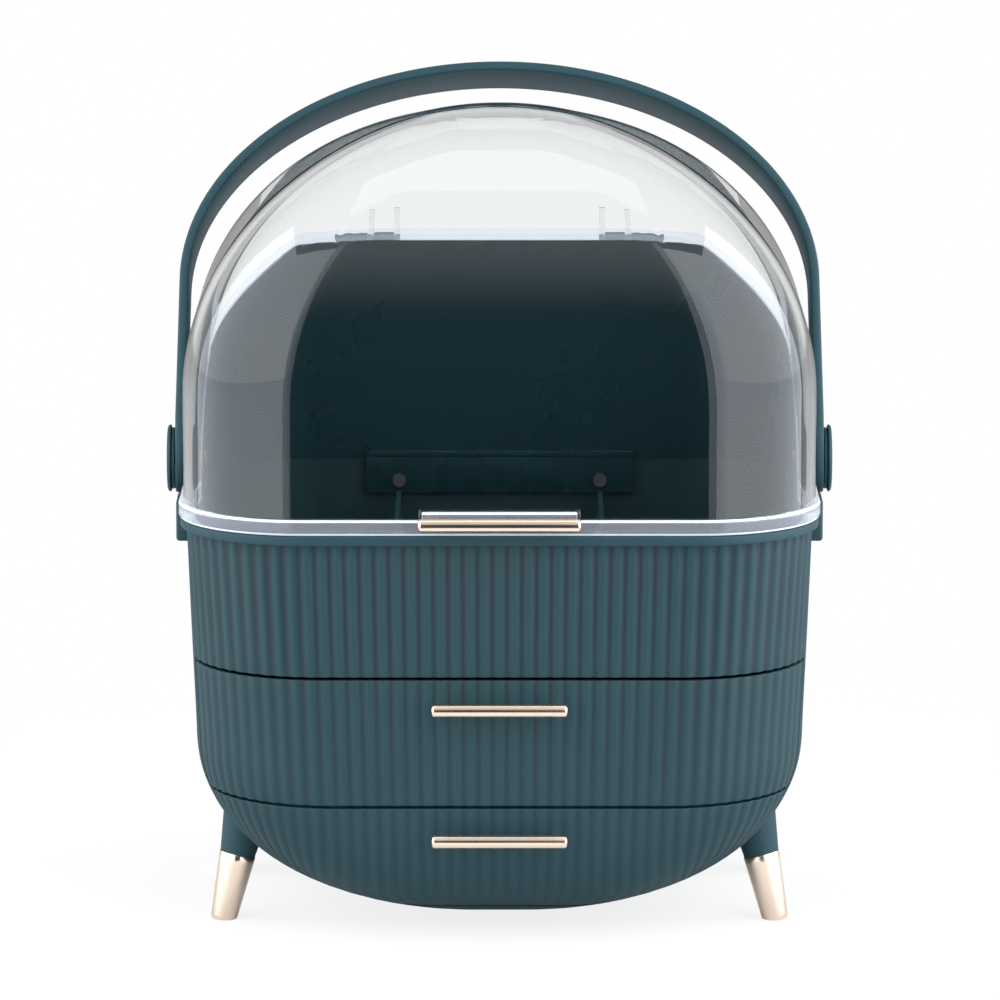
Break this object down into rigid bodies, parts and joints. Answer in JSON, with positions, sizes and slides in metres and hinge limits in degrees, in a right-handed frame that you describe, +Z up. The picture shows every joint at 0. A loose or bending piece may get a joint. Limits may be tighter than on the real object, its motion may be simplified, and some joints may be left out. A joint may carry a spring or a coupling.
{
  "type": "makeup organizer",
  "caption": "Egg-shaped ribbed cosmetics case on splayed legs with drawers, a clear hinged hood, gold pulls and a carry handle.",
  "frame": {"origin": "centre of the whole object's footprint box, at the floor under the four feet", "axes": "+X to the right seen from the front, +Y from the front to the back, +Z up"},
  "size_m": [0.2896, 0.2203, 0.3599],
  "materials": {
    "body_plastic": "satin dark green",
    "clear_plastic": "clear and glossy",
    "gold_metal": "polished light gold",
    "steel": "plain"
  },
  "bodies": {
    "base": {"base_tub": "body_plastic", "cabinet_shell": "body_plastic", "divider_shelf": "body_plastic", "bottom_pan": "body_plastic", "back_shell": "body_plastic", "hinge_pin_left": "steel", "hinge_pin_right": "steel", "tub_screws": "steel", "back_shell_screws": "steel", "leg_screws": "steel", "leg_front_left": "body_plastic", "leg_front_right": "body_plastic", "leg_rear_left": "body_plastic", "leg_rear_right": "body_plastic", "ferrule_front_left": "gold_metal", "ferrule_front_right": "gold_metal", "ferrule_rear_left": "gold_metal", "ferrule_rear_right": "gold_metal", "pivot_pin_left": "steel", "pivot_pin_right": "steel", "pivot_disc_left": "body_plastic", "pivot_disc_right": "body_plastic", "pivot_cap_left": "body_plastic", "pivot_cap_right": "body_plastic"},
    "lid": {"hood": "clear_plastic", "hood_pull": "gold_metal", "hood_pull_screws": "steel"},
    "handle": {"carry_handle": "body_plastic"},
    "upper_drawer": {"upper_drawer_front": "body_plastic", "upper_drawer_tray": "body_plastic", "upper_pull": "gold_metal", "upper_pull_screws": "steel"},
    "lower_drawer": {"lower_drawer_front": "body_plastic", "lower_drawer_tray": "body_plastic", "lower_pull": "gold_metal", "lower_pull_screws": "steel"},
    "divider": {"partition": "body_plastic"}
  },
  "joints": [
    {"name": "lid_hinge", "type": "hinge", "parent": "base", "child": "lid", "pos_m": [0, 0.10662, 0.277], "axis": [-1, 0, 0], "range_deg": [0, 95]},
    {"name": "handle_swing", "type": "hinge", "parent": "base", "child": "handle", "pos_m": [0, 0.01709, 0.192], "axis": [-1, 0, 0], "range_deg": [0, 65]},
    {"name": "upper_drawer_slide", "type": "slide", "parent": "base", "child": "upper_drawer", "axis": [0, -1, 0], "range_m": [0, 0.12]},
    {"name": "lower_drawer_slide", "type": "slide", "parent": "base", "child": "lower_drawer", "axis": [0, -1, 0], "range_m": [0, 0.12]},
    {"name": "partition_lift", "type": "slide", "parent": "base", "child": "divider", "axis": [0, 0, 1], "range_m": [0, 0.04]}
  ],
  "couplings": [
    {"joint": "handle_swing", "follows": "lid_hinge", "ratio": 0.68}
  ]
}
